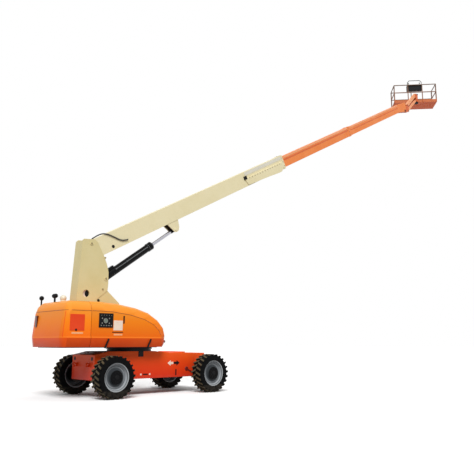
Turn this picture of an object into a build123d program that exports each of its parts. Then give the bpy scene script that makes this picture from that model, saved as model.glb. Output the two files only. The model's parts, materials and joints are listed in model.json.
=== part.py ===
from build123d import *
import math
import os

os.makedirs("parts", exist_ok=True)

# Sizes in millimetres. Origin: ground under the slew axis, +X to the front, +Z up.
TYRE_D, TYRE_W, RIM_D = 1050, 390, 740
LUG_H, LUG_W, LUG_SHIFT, LUG_COUNT = 26, 50, 70, 24
SHOULDER_W, SHOULDER_H = 38, 50
REAR_X, FRONT_X, WHEEL_Y = -1080, 2040, 1035
WHEEL_Z = TYRE_D / 2
KINGPIN_Y = 800

FRAME_X0, FRAME_X1, FRAME_Y = -1365, 1780, 590
FRAME_Z0, FRAME_WALL = 425, 25
FRAME_TOP = [(FRAME_X0, 1060), (-983, 1145), (430, 1145), (952, 1088), (FRAME_X1, 1088)]
NECK_X1, NECK_Y, NECK_Z0, NECK_Z1 = 2330, 430, 660, 1075
SLEW_R, SLEW_Z0, SLEW_Z1 = 600, 1145, 1192
PLATE_R, PLATE_Z0, PLATE_Z1 = 620, 1198, 1245
DECK_X0, DECK_X1, DECK_Y, DECK_Z1 = -2290, 440, 690, 1300

# Hood outlines in X and Z, rear foot first: the middle one, and the side panel's at the crease.
POD_MID = [(-2385, 1255), (-2420, 1475), (-2350, 2143), (-2295, 2310), (-2200, 2380), (-1407, 2388),
           (-864, 2357), (-288, 2268), (113, 2150), (403, 1974), (575, 1775),
           (629, 1560), (605, 1350), (540, 1255)]
POD_SIDE = [(-2290, 1255), (-2325, 1475), (-2290, 2040), (-2270, 2110), (-2200, 2143), (-1400, 2143),
            (-1126, 2138), (-571, 2072), (-142, 1970), (150, 1840), (330, 1690),
            (395, 1560), (395, 1350), (370, 1255)]
POD_Y, POD_MID_Y, POD_WALL, SKIRT_Z, SKIRT_IN, HOOD_IN_Y = 950, 700, 14, 1475, 60, 240
LEDGE_IN, LEDGE_Z0, LEDGE_Z1 = 24, 1490, 1520
HOOD_SEAM, HINGE_Z = -1680, 2364

TOWER_IN, TOWER_T, DOUBLER_T = 150, 26, 12
TOWER_SIDE = [(-1750, DECK_Z1), (-1740, 2462), (-1650, 4005), (-1600, 4060), (-1290, 4080), (-1200, 4010),
              (-965, 3600), (-900, 3440), (-845, 3240), (-836, 2935), (-851, 2733), (-477, 2417),
              (-440, 2300), (-440, DECK_Z1)]
TOWER_DOUBLER = TOWER_SIDE[1:11] + [(-1161, 2492), (-1161, 2400), (-1738, 2400)]
TOWER_PINS = [(-963, 3615, 26), (-1000, 2766, 24), (-1106, 2452, 20)]
TOWER_HOLE = (-1477, 2627, 97)
PIVOT_X, PIVOT_Z, BOOM_DEG = -1385, 3955, 28.67
BOOM_N, MID_N, FLY_N = -173, -179, -183
BASE_S0, BASE_S1, BASE_H, BASE_W = -170, 8650, 498, 280
MID_S0, MID_S1, MID_H, MID_W = 5200, 13500, 410, 250
FLY_S0, FLY_S1, FLY_H, FLY_W = 10320, 18420, 376, 218
WALL = 8
SADDLE = [(6380, -150), (6460, -395), (7600, -440), (8150, -475), (8340, -475), (8430, -430),
          (8560, -330), (8560, -150)]

CYL_X, CYL_Z = -917, 3054
EYE_S, EYE_N = 2837, -665
BARREL_R, ROD_R, GLAND_AT, ROD_LEN = 108, 50, 1900, 1850

NOSE_S, NOSE_N = 18726, -409
JIB_X, JIB_Z, JIB_LEN, JIB_DEG = 15615, 12695, 1205, 43.4
JIB_DX, JIB_DZ = -45, 272
ROT_X, ROT_DEG = 16620, 41.9
BASKET_Z, BASKET_W, BASKET_D, BASKET_H, BASKET_R0 = 13546, 2145, 900, 995, 195
TUBE = 23
# A bead's half: radius and height of each ring, as shares of its size.
BEAD = [(1.0, 0.0), (0.92, 0.4), (0.68, 0.74), (0.3, 0.95)]
BEAD_SIDES = 14


def block(x0, x1, y0, y1, z0, z1):
    return Pos((x0 + x1) / 2, (y0 + y1) / 2, (z0 + z1) / 2) * Box(x1 - x0, y1 - y0, z1 - z0)


def profile(points, y0, y1):
    face = Plane.XZ * Polygon(*points, align=None)
    return Pos(0, y0, 0) * extrude(face, amount=y1 - y0, dir=(0, 1, 0))


def section(points, x0, x1):
    face = Plane.YZ * Polygon(*points, align=None)
    return Pos(x0, 0, 0) * extrude(face, amount=x1 - x0, dir=(1, 0, 0))


def cyl_y(x, z, r, y0, y1):
    return Pos(x, (y0 + y1) / 2, z) * Rot(90, 0, 0) * Cylinder(r, y1 - y0)


def cyl_z(x, y, r, z0, z1):
    return Pos(x, y, (z0 + z1) / 2) * Cylinder(r, z1 - z0)


def bar(p, q, r):
    p, q = Vector(*p), Vector(*q)
    centre = (Align.CENTER, Align.CENTER, Align.MIN)
    return Plane(origin=p, z_dir=(q - p)) * Cylinder(r, (q - p).length, align=centre)


def in_boom(shape):
    return Pos(PIVOT_X, 0, PIVOT_Z) * Rot(0, -BOOM_DEG, 0) * shape


def boom_point(s, n):
    e = math.radians(BOOM_DEG)
    x = PIVOT_X + s * math.cos(e) - n * math.sin(e)
    return x, PIVOT_Z + s * math.sin(e) + n * math.cos(e)


def box_tube(s0, s1, height, width, wall, n=BOOM_N):
    outer = block(s0, s1, -width / 2, width / 2, n - height / 2, n + height / 2)
    w, h = width / 2 - wall, height / 2 - wall
    return outer - block(s0 - 1, s1 + 1, -w, w, n - h, n + h)


def bead(x, y, z, r):
    ball = Part()
    for turn in (0, 180):
        for (q0, h0), (q1, h1) in zip(BEAD, BEAD[1:]):
            lean = math.degrees(math.atan2((q0 - q1) * math.cos(math.pi / BEAD_SIDES), h1 - h0))
            band = extrude(RegularPolygon(r * q0, BEAD_SIDES), amount=r * (h1 - h0), taper=lean)
            ball += Rot(turn, 0, 0) * Pos(0, 0, r * h0) * band
    return Pos(x, y, z) * ball


def in_basket(shape):
    return Pos(ROT_X, 0, BASKET_Z) * Rot(0, 0, ROT_DEG) * shape


def inset(points, d):
    area = sum(a[0] * b[1] - b[0] * a[1] for a, b in zip(points, points[1:] + points[:1]))
    turn = 1 if area > 0 else -1
    lines = []
    for (x0, z0), (x1, z1) in zip(points, points[1:] + points[:1]):
        size = math.hypot(x1 - x0, z1 - z0)
        nx, nz = -turn * (z1 - z0) / size, turn * (x1 - x0) / size
        lines.append((nx, nz, nx * x0 + nz * z0 + d))
    result = []
    for (a, b, c), (e, f, g) in zip(lines[-1:] + lines[:-1], lines):
        det = a * f - b * e
        result.append(((c * f - b * g) / det, (a * g - c * e) / det))
    return result


def make_chassis():
    t = FRAME_WALL
    frame = profile([(FRAME_X0, FRAME_Z0)] + FRAME_TOP + [(FRAME_X1, FRAME_Z0)], -FRAME_Y, FRAME_Y)
    frame -= block(FRAME_X0 + t, FRAME_X1 - t, -FRAME_Y + t, FRAME_Y - t, FRAME_Z0 - 1, 1030)
    frame -= block(REAR_X - 125, REAR_X + 125, -FRAME_Y - 1, FRAME_Y + 1, FRAME_Z0 - 1, 650)
    frame += block(FRAME_X1, NECK_X1, -NECK_Y, NECK_Y, NECK_Z0, NECK_Z1)
    frame -= block(FRAME_X1 + t, NECK_X1 - t, -NECK_Y + t, NECK_Y - t, NECK_Z0 - 1, NECK_Z1 - t)
    frame += block(1385, 1485, -FRAME_Y, FRAME_Y, 1080, 1122)
    for y in (-300, 275):
        frame += block(FRAME_X0 + t, FRAME_X1 - t, y, y + 25, 655, 1030)
    return frame


def make_axle(x, end_y):
    axle = block(x - 110, x + 110, -end_y, end_y, WHEEL_Z - 115, WHEEL_Z + 115)
    return axle


def make_lugs():
    lugs = []
    for x, sx in ((FRAME_X0, -1), (NECK_X1, 1)):
        for y in (-330, 330):
            lug = block(min(x, x + sx * 110), max(x, x + sx * 110), y - 15, y + 15, 760, 860)
            lugs.append(lug - cyl_y(x + sx * 65, 810, 25, y - 20, y + 20))
    return Compound(children=lugs)


def make_rear_axle():
    axle = make_axle(REAR_X, 760)
    for s in (-1, 1):
        axle += cyl_y(REAR_X, WHEEL_Z, 190, min(s * 750, s * 830), max(s * 750, s * 830))
        axle += cyl_y(REAR_X, WHEEL_Z, 75, min(s * 820, s * 1000), max(s * 820, s * 1000))
    return axle


def make_front_axle():
    axle = make_axle(FRONT_X, 690)
    axle += block(FRONT_X - 250, FRONT_X + 250, -300, 300, WHEEL_Z + 40, NECK_Z0)
    for s in (-1, 1):
        for z in (WHEEL_Z - 150, WHEEL_Z + 110):
            axle += block(FRONT_X - 70, FRONT_X + 70, min(s * 650, s * 850), max(s * 650, s * 850), z, z + 40)
        axle += block(FRONT_X - 70, FRONT_X + 70, min(s * 650, s * 692), max(s * 650, s * 692),
                      WHEEL_Z - 150, WHEEL_Z + 150)
        axle -= cyl_z(FRONT_X, s * KINGPIN_Y, 38, WHEEL_Z - 200, WHEEL_Z + 200)
    return axle


def make_knuckle(s):
    y = s * KINGPIN_Y
    hub = cyl_z(FRONT_X, y, 70, WHEEL_Z - 104, WHEEL_Z + 104)
    hub += cyl_z(FRONT_X, y, 35, WHEEL_Z - 165, WHEEL_Z + 165)
    hub += cyl_y(FRONT_X, WHEEL_Z, 75, min(y, s * 1000), max(y, s * 1000))
    hub += block(FRONT_X - 260, FRONT_X, min(y - s * 10, y + s * 40), max(y - s * 10, y + s * 40),
                 WHEEL_Z - 60, WHEEL_Z - 30)
    return hub


def make_tie_rod():
    x = FRONT_X - 220
    rod = bar((x, -KINGPIN_Y - 15, WHEEL_Z - 90), (x, KINGPIN_Y + 15, WHEEL_Z - 90), 22)
    for s in (-1, 1):
        rod += cyl_z(x, s * (KINGPIN_Y + 15), 30, WHEEL_Z - 118, WHEEL_Z - 64)
    return rod


def make_tyre_half():
    ring = RegularPolygon(TYRE_D / 2 - LUG_H, LUG_COUNT)
    flat = TYRE_W / 2 - SHOULDER_W
    cos = math.cos(math.pi / LUG_COUNT)
    lean = math.degrees(math.atan2(SHOULDER_H * cos, SHOULDER_W))
    half = extrude(ring, amount=flat) + Pos(0, 0, flat) * extrude(ring, amount=SHOULDER_W, taper=lean)
    inner, outer = (LUG_W - LUG_SHIFT) / 2, (LUG_W + LUG_SHIFT) / 2
    crown = math.sqrt((TYRE_D / 2) ** 2 - outer ** 2)
    foot = (TYRE_D / 2 - LUG_H) * cos - SHOULDER_H - 10
    patch = [(-outer, 8), (inner, 8), (outer, TYRE_W / 2), (-inner, TYRE_W / 2)]
    lug = extrude(Plane.YZ * Polygon(*patch, align=None), amount=crown - foot, dir=(1, 0, 0))
    lug = Pos(foot, 0, 0) * lug
    return half + [Rot(0, 0, 360 * (i + 0.5) / LUG_COUNT) * lug for i in range(LUG_COUNT)]


TYRE_HALF = make_tyre_half()


def make_tyre(x, s):
    tyre = Rot(0, 0, 180 / LUG_COUNT) * TYRE_HALF + mirror(TYRE_HALF, about=Plane.XY)
    tyre -= extrude(RegularPolygon(RIM_D / 2 - 19, LUG_COUNT, major_radius=False), amount=TYRE_W, both=True)
    return Pos(x, s * WHEEL_Y, WHEEL_Z) * Rot(90, 0, 0) * tyre


def make_rim(x, s):
    w = TYRE_W / 2
    r0 = RIM_D / 2 - 20
    pts = [(78, -10), (78, -w + 70), (150, -w + 70), (150, 60), (r0 - 35, 60), (r0 - 35, -w + 30),
           (r0, -w + 30), (r0, w - 30), (r0 - 30, w - 30), (r0 - 60, 90), (190, 100),
           (165, w - 20), (0, w - 20), (0, -10)]
    disc = revolve(Plane.XZ * Polygon(*pts, align=None), Axis.Z)
    return Pos(x, s * WHEEL_Y, WHEEL_Z) * Rot(-90 * s, 0, 0) * disc


def make_slew_ring():
    return cyl_z(0, 0, SLEW_R, SLEW_Z0, SLEW_Z1) - cyl_z(0, 0, 380, SLEW_Z0 - 1, SLEW_Z1 + 1)


def make_deck():
    deck = cyl_z(0, 0, PLATE_R, PLATE_Z0, PLATE_Z1)
    deck += block(DECK_X0, DECK_X1, -DECK_Y, DECK_Y, PLATE_Z1 - 5, DECK_Z1)
    return deck


def make_tower():
    a, b = TOWER_IN, TOWER_IN + TOWER_T
    c = b + DOUBLER_T
    tower = profile(TOWER_SIDE, -b, -a) + profile(TOWER_SIDE, a, b)
    tower += profile(TOWER_DOUBLER, -c, -b) + profile(TOWER_DOUBLER, b, c)
    rear = TOWER_SIDE[:3]
    tower += profile(rear + [(x + 30, z) for x, z in reversed(rear)], -a, a)
    tower += block(-1720, -445, -a, a, DECK_Z1, DECK_Z1 + 40)
    hx, hz, hr = TOWER_HOLE
    tower -= cyl_y(hx, hz, hr, -c - 1, c + 1)
    tower += cyl_y(PIVOT_X, PIVOT_Z, 50, -c - 12, c + 12)
    for s in (-1, 1):
        tower += cyl_y(CYL_X, CYL_Z, 55, min(s * 110, s * (c + 14)), max(s * 110, s * (c + 14)))
        for x, z, r in TOWER_PINS:
            tower += cyl_y(x, z, r, min(s * b, s * (c + 8)), max(s * b, s * (c + 8)))
    return tower


def pod(mid, side, half):
    faces = []
    step = half - LEDGE_IN
    for share, y in ((0, POD_MID_Y), (0.26, POD_MID_Y + 0.66 * (step - POD_MID_Y)), (1, step), (1, half)):
        ring = [(p[0] + share * (q[0] - p[0]), p[1] + share * (q[1] - p[1])) for p, q in zip(mid, side)]
        faces.append((y, Plane.XZ * Polygon(*ring, align=None)))
    body = profile(mid, -POD_MID_Y, POD_MID_Y)
    for s in (-1, 1):
        body += loft([Pos(0, s * y, 0) * face for y, face in faces], ruled=True)
    return body


def open_below(points):
    return [(x, z - 60 if z < 1300 else z) for x, z in points]


def make_pod():
    t, edge = POD_WALL, POD_Y + 1
    outer = pod(POD_MID, POD_SIDE, POD_Y)
    inner = pod(open_below(inset(POD_MID, t)), open_below(inset(POD_SIDE, t)), POD_Y - t)
    slope = SKIRT_IN / (SKIRT_Z - 1255)
    for s in (-1, 1):
        low = POD_Y - SKIRT_IN
        outer -= section([(s * edge, SKIRT_Z), (s * POD_Y, SKIRT_Z), (s * low, 1255), (s * low, 1250),
                          (s * edge, 1250)], -3000, 1000)
        step = POD_Y - LEDGE_IN
        outer -= section([(s * edge, LEDGE_Z0), (s * POD_Y, LEDGE_Z0), (s * step, LEDGE_Z1), (s * step, 2400),
                          (s * edge, 2400)], -3000, 1000)
        inner -= section([(s * edge, LEDGE_Z0), (s * (POD_Y - t), LEDGE_Z0), (s * (step - t), LEDGE_Z1),
                          (s * (step - t), 2400), (s * edge, 2400)], -3000, 1000)
        foot = POD_Y - t - slope * (SKIRT_Z - 1180)
        inner -= section([(s * edge, SKIRT_Z), (s * (POD_Y - t), SKIRT_Z), (s * foot, 1180),
                          (s * edge, 1180)], -3000, 1000)
    return outer - inner


POD = make_pod()
POD_FULL = pod(POD_MID, POD_SIDE, POD_Y)


def make_tail():
    tail = POD & block(-3000, HOOD_SEAM - 10, -1000, 1000, 1200, 2500)
    return tail - block(-1775, HOOD_SEAM, -230, 230, 1200, 2500)


def make_hood(s):
    y0, y1 = sorted((s * HOOD_IN_Y, s * 1000))
    hood = POD & block(HOOD_SEAM, 1000, y0, y1, 1200, 2500)
    return hood + bar((-1600, s * HOOD_IN_Y, HINGE_Z), (-1150, s * HOOD_IN_Y, HINGE_Z), 16)


def slat(p, q, width, thick):
    p, q = Vector(*p), Vector(*q)
    frame = Plane(origin=(p + q) / 2, x_dir=(1, 0, 0), z_dir=(q - p))
    return frame * Box(width, thick, (q - p).length)


def make_straps(s):
    straps = [slat((x, s * 967, 1460), (x - 70, s * 904, 1228), 44, 12) for x in (-1205, 60)]
    return Compound(children=straps)


def make_horns():
    ball = cyl_z(-2225, 800, 20, 2250, 2480) - POD_FULL + bead(-2225, 800, 2515, 62)
    twin = cyl_z(-2130, 226, 24, 2300, 2520) - POD_FULL
    for dy in (-44, 44):
        twin += bead(-2130, 226 + dy, 2550, 58)
    return Compound(children=[ball, twin])


def make_beacon():
    return cyl_z(-2090, -165, 66, 2300, 2420) - POD_FULL + bead(-2090, -165, 2470, 82)


def make_base_boom():
    tube = box_tube(BASE_S0, BASE_S1, BASE_H, BASE_W, WALL)
    tube += box_tube(8560, BASE_S1, BASE_H + 20, BASE_W + 20, 12)
    w, low, high = BASE_W / 2, BOOM_N - BASE_H / 2, BOOM_N + BASE_H / 2
    core = block(6000, 9000, -w + 2, w - 2, low + 2, high - 2)
    tube += profile(SADDLE, -BASE_W / 2 - 24, BASE_W / 2 + 24) - core
    tube += block(BASE_S0, BASE_S0 + 10, -w, w, low, high)
    pts = [(EYE_S - 230, low + 4), (EYE_S + 215, low + 4), (EYE_S + 150, EYE_N + 20),
           (EYE_S + 95, EYE_N - 60), (EYE_S + 10, EYE_N - 85), (EYE_S - 70, EYE_N - 62),
           (EYE_S - 105, EYE_N + 10)]
    for n, k in ((MID_N + MID_H / 2 + 7, 1), (MID_N - MID_H / 2 - 7, -1)):
        wall = BOOM_N + k * (BASE_H / 2 - 4)
        tube += block(8470, BASE_S1 - 4, -100, 100, min(n, wall), max(n, wall))
    for s in (-1, 1):
        tube += profile(pts, min(s * 100, s * 130), max(s * 100, s * 130))
        tube += cyl_y(EYE_S, EYE_N, 45, min(s * 62, s * 140), max(s * 62, s * 140))
    tube -= cyl_y(0, 0, 52, -BASE_W, BASE_W)
    return in_boom(tube)


HOSE = [(120, -70, 98), (330, -110, 140), (520, -158, 96), (700, -160, -60), (860, -160, -230),
        (990, -160, -300), (1116, -160, -316)]


def make_hose():
    points = [(boom_point(s, n)[0], y, boom_point(s, n)[1]) for s, y, n in HOSE]
    hose = Part() + [bar(a, b, 17) for a, b in zip(points, points[1:])]
    return hose + [Pos(*p) * Sphere(17) for p in points[1:-1]]


def cylinder_frame(shape):
    ex, ez = boom_point(EYE_S, EYE_N)
    deg = math.degrees(math.atan2(ez - CYL_Z, ex - CYL_X))
    return Pos(CYL_X, 0, CYL_Z) * Rot(0, -deg, 0) * shape


def cylinder_length():
    ex, ez = boom_point(EYE_S, EYE_N)
    return math.hypot(ex - CYL_X, ez - CYL_Z)


def make_barrel():
    barrel = bar((60, 0, 0), (GLAND_AT, 0, 0), BARREL_R)
    barrel += bar((GLAND_AT - 130, 0, 0), (GLAND_AT, 0, 0), BARREL_R + 8)
    barrel += cyl_y(0, 0, 90, -100, 100) - cyl_y(0, 0, 58, -101, 101)
    barrel -= cyl_y(0, 0, 58, -101, 101)
    barrel += block(300, 470, -45, 45, 60, BARREL_R + 52)
    barrel -= bar((250, 0, 0), (GLAND_AT + 1, 0, 0), ROD_R + 6)
    return cylinder_frame(barrel)


def make_rod():
    length = cylinder_length()
    rod = bar((length - ROD_LEN, 0, 0), (length - 40, 0, 0), ROD_R)
    rod += block(length - 120, length, -55, 55, -50, 50)
    rod += cyl_y(length, 0, 58, -55, 55)
    rod -= cyl_y(length, 0, 40, -60, 60)
    return cylinder_frame(rod)


def make_mid_boom():
    tube = box_tube(MID_S0, MID_S1, MID_H, MID_W, WALL, MID_N)
    tube += box_tube(MID_S1 - 110, MID_S1, MID_H + 18, MID_W + 18, 12, MID_N)
    return in_boom(tube)


def make_fly_boom():
    tube = box_tube(FLY_S0, FLY_S1, FLY_H, FLY_W, WALL, FLY_N)
    top, low = FLY_N + FLY_H / 2, FLY_N - FLY_H / 2
    pts = [(FLY_S1 - 260, top), (NOSE_S + 130, top - 25), (NOSE_S + 245, NOSE_N + 290),
           (NOSE_S + 75, NOSE_N - 25), (NOSE_S, NOSE_N - 60), (NOSE_S - 75, NOSE_N - 35),
           (FLY_S1 - 260, low)]
    for s in (-1, 1):
        tube += profile(pts, min(s * 85, s * 109), max(s * 85, s * 109))
    tube += cyl_y(NOSE_S, NOSE_N, 28, -109, 109)
    return in_boom(tube)


def jib_end(dx=0, dz=0):
    e = math.radians(JIB_DEG)
    return JIB_X + JIB_LEN * math.cos(e) + dx, JIB_Z + JIB_LEN * math.sin(e) + dz


def make_jib_head():
    nx, nz = boom_point(NOSE_S, NOSE_N)
    x1, z1 = JIB_X + JIB_DX, JIB_Z + JIB_DZ
    pts = [(nx - 50, nz - 35), (nx - 40, nz + 50), (x1 - 60, z1 - 20), (x1 - 40, z1 + 50),
           (x1 + 50, z1 + 40), (JIB_X + 60, JIB_Z + 20), (JIB_X + 40, JIB_Z - 50), (nx, nz - 55)]
    head = profile(pts, -80, -58) + profile(pts, 58, 80)
    head += cyl_y(JIB_X, JIB_Z, 26, -80, 80) + cyl_y(x1, z1, 26, -80, 80)
    head += block(nx + 60, JIB_X - 90, -60, 60, nz + 10, nz + 40)
    head -= cyl_y(nx, nz, 30, -90, 90)
    return head


def make_jib_bar(dx, dz, depth, half):
    arm = block(-30, JIB_LEN + 30, -half, half, -depth / 2, depth / 2)
    arm -= cyl_y(0, 0, 28, -100, 100) + cyl_y(JIB_LEN, 0, 28, -100, 100)
    return Pos(JIB_X + dx, 0, JIB_Z + dz) * Rot(0, -JIB_DEG, 0) * arm


def make_support():
    x, z = jib_end()
    x1, z1 = jib_end(JIB_DX, JIB_DZ)
    pts = [(x - 50, z - 50), (ROT_X - 62, z - 50), (ROT_X - 62, z1 + 50), (x1 - 50, z1 + 50),
           (x1 - 50, z1 - 50)]
    plates = profile(pts, -80, -58) + profile(pts, 58, 80)
    plates += cyl_y(x, z, 26, -80, 80) + cyl_y(x1, z1, 26, -80, 80)
    plates += block(ROT_X - 72, ROT_X - 60, -80, 80, z - 50, z1 + 50)
    plates += cyl_z(ROT_X, 0, 65, z - 50, z1 + 50)
    return plates


def rail_side(x, y0, y1, posts):
    side = block(x - 3, x + 3, y0, y1, 0, 150)
    for z in (560, BASKET_H - TUBE):
        side += bar((x, posts[0], z), (x, posts[-1], z), TUBE)
    for y in (posts[0], posts[-1]):
        side += Pos(x, y, BASKET_H - TUBE) * Sphere(TUBE)
    for y in posts:
        side += bar((x, y, 36), (x, y, BASKET_H - TUBE), TUBE)
    return side


def end_side(y, x0, x1):
    side = block(x0, x1, y - 3, y + 3, 36, 150)
    for z in (560, BASKET_H - TUBE):
        side += bar((x0 + TUBE, y, z), (x1 - TUBE, y, z), TUBE)
    for x in (x0 + TUBE, x1 - TUBE):
        side += Pos(x, y, BASKET_H - TUBE) * Sphere(TUBE)
        side += bar((x, y, 36), (x, y, BASKET_H - TUBE), TUBE)
    return side


def make_rotator():
    z0 = jib_end()[1] - 56 - BASKET_Z
    z1 = jib_end(JIB_DX, JIB_DZ)[1] + 56 - BASKET_Z
    wall = BASKET_R0 - TUBE - 1
    link = cyl_z(0, 0, 80, z0 - 40, z0) + cyl_z(0, 0, 80, z1, z1 + 40)
    link += block(0, wall, -80, 80, z0 - 40, z0) + block(0, wall, -80, 80, z1, z1 + 40)
    link += block(100, wall, -80, 80, z0 - 40, z1 + 40)
    return link


NEAR_X = BASKET_R0
FAR_X = BASKET_R0 + BASKET_D
HALF_W = BASKET_W / 2


def make_basket_floor():
    return block(NEAR_X + 4, FAR_X - 4, -HALF_W + 4, HALF_W - 4, 0, 12)


def make_console():
    x = NEAR_X + 30
    box = block(x, x + 215, -380, 380, BASKET_H - 290, BASKET_H - 10)
    top = BASKET_H + 235
    for y in (-350, 350):
        box += bar((x + 30, y, BASKET_H - 40), (x + 30, y, top - 90), 15)
        box += bar((x + 30, y, top - 90), (x + 30, y * 0.74, top), 15)
        box += Pos(x + 30, y, top - 90) * Sphere(15)
        box += Pos(x + 30, y * 0.74, top) * Sphere(15)
    box += bar((x + 30, -259, top), (x + 30, 259, top), 15)
    return box


PARTS = {
    "chassis_frame": make_chassis(),
    "tie_down_lugs": make_lugs(),
    "rear_axle": make_rear_axle(),
    "front_axle": make_front_axle(),
    "slew_ring": make_slew_ring(),
    "knuckle_left": make_knuckle(1),
    "knuckle_right": make_knuckle(-1),
    "tie_rod": make_tie_rod(),
    "turntable_deck": make_deck(),
    "tower": make_tower(),
    "counterweight": block(-2250, -1765, -840, 840, DECK_Z1, 1960),
    "tail_hood": make_tail(),
    "engine_block": block(-1250, -450, 360, 740, DECK_Z1, 1760),
    "hydraulic_tank": block(-1250, -550, -740, -360, DECK_Z1, 1800),
    "hood_left": make_hood(1),
    "hood_right": make_hood(-1),
    "straps_left": make_straps(1),
    "straps_right": make_straps(-1),
    "ground_panel": block(-1485, -1084, -943, -927, 1737, 2091),
    "rear_lamp": block(-2412, -2330, 600, 700, 1765, 2045) - POD_FULL,
    "horn_set": make_horns(),
    "beacon": make_beacon(),
    "base_boom": make_base_boom(),
    "boom_hose": make_hose(),
    "lift_barrel": make_barrel(),
    "lift_rod": make_rod(),
    "mid_boom": make_mid_boom(),
    "fly_boom": make_fly_boom(),
    "jib_head": make_jib_head(),
    "jib_arm": make_jib_bar(0, 0, 84, 52),
    "jib_link": make_jib_bar(JIB_DX, JIB_DZ, 150, 52),
    "platform_support": make_support(),
    "basket_rotator": in_basket(make_rotator()),
    "basket_floor": in_basket(make_basket_floor()),
    "rail_near": in_basket(rail_side(NEAR_X, -HALF_W, HALF_W, (-HALF_W + TUBE, -360, 360, HALF_W - TUBE))),
    "rail_far": in_basket(rail_side(FAR_X, -HALF_W, HALF_W, (-HALF_W + TUBE, 0, HALF_W - TUBE))),
    "rail_end": in_basket(end_side(-HALF_W + TUBE, NEAR_X + 24, FAR_X - 24)),
    "basket_gate": in_basket(end_side(HALF_W - TUBE, NEAR_X + 30, FAR_X - 30)),
    "platform_console": in_basket(make_console()),
}
for label, x in (("rear", REAR_X), ("front", FRONT_X)):
    for side, s in (("left", 1), ("right", -1)):
        PARTS[f"tyre_{label}_{side}"] = make_tyre(x, s)
        PARTS[f"rim_{label}_{side}"] = make_rim(x, s)

for name, shape in PARTS.items():
    shape.label = name
    export_step(shape, f"parts/{name}.step")
    print(name, len(shape.solids()), round(shape.volume / 1e9, 4))
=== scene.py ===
"""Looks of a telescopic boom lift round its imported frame: metres, +Z up, origin under the slew axis."""

import json
import logging
import math
from collections import defaultdict
from collections.abc import Sequence
from dataclasses import dataclass, field
from enum import Enum

import bmesh
import bpy
from mathutils import Matrix, Vector

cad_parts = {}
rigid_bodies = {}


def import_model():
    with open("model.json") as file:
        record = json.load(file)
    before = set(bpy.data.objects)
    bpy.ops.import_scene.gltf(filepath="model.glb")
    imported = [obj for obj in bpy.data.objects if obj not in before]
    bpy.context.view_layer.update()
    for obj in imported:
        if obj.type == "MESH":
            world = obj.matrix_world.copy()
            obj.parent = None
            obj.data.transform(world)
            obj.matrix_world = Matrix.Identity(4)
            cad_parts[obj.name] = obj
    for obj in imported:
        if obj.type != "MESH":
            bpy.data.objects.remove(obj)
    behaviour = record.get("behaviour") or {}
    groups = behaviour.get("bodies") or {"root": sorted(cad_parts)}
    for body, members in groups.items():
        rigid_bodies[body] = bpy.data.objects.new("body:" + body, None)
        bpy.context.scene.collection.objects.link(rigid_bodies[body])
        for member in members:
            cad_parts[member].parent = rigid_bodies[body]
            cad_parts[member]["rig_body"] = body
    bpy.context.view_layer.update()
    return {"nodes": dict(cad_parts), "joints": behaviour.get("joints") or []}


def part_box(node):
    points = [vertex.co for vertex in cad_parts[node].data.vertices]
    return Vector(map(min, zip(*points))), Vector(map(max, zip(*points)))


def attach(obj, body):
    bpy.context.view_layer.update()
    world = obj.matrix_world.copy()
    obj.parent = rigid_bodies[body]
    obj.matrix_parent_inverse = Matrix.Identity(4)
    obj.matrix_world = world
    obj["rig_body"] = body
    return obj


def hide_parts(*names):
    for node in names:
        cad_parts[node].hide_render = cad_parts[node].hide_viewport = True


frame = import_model()
LOG = logging.getLogger("boom_lift")

MM = 0.001
# Areas in square metres: on a crowned skin, faces over the first stay flat.
# No other face of it weighs more than the second.
FLAT_AREA = 0.5
PANE_AREA = 0.012
# Turn of the parked basket from the boom's line, in degrees.
BASKET_TURN = 41.9
Point = tuple[float, float, float]


def linear(code: str) -> tuple[float, float, float, float]:
    """Turns an sRGB hex colour to linear light.

    Args:
        code: Colour as "#RRGGBB".

    Returns:
        Red, green, blue and an alpha of 1.
    """
    parts = [int(code[i : i + 2], 16) / 255 for i in (1, 3, 5)]
    r, g, b = (c / 12.92 if c <= 0.04045 else ((c + 0.055) / 1.055) ** 2.4 for c in parts)
    return (r, g, b, 1.0)


def add_node(tree: bpy.types.NodeTree, kind: str, inputs: dict | None = None,
             stops: Sequence[tuple[float, str]] = (), **settings: object) -> bpy.types.Node:
    """Adds a shader node with its settings, values and links.

    Args:
        tree: Node tree that gets the node.
        kind: Blender's type name of the node.
        inputs: Value or linked socket for each input, by name or number.
        stops: Place and colour of each stop of a colour ramp, in rising order.
        **settings: Attributes of the node itself.

    Returns:
        The new node.
    """
    made = tree.nodes.new(kind)
    for key, value in settings.items():
        setattr(made, key, value)
    for key, value in (inputs or {}).items():
        if isinstance(value, bpy.types.NodeSocket):
            tree.links.new(value, made.inputs[key])
        else:
            made.inputs[key].default_value = value
    if stops:
        elements = made.color_ramp.elements
        elements.remove(elements[1])
        elements[0].position = stops[0][0]
        elements[0].color = linear(stops[0][1])
        for at, colour in stops[1:]:
            elements.new(at).color = linear(colour)
    return made


class Side(Enum):
    """Side of the machine, as the sign of its Y."""

    LEFT = 1
    RIGHT = -1


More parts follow.
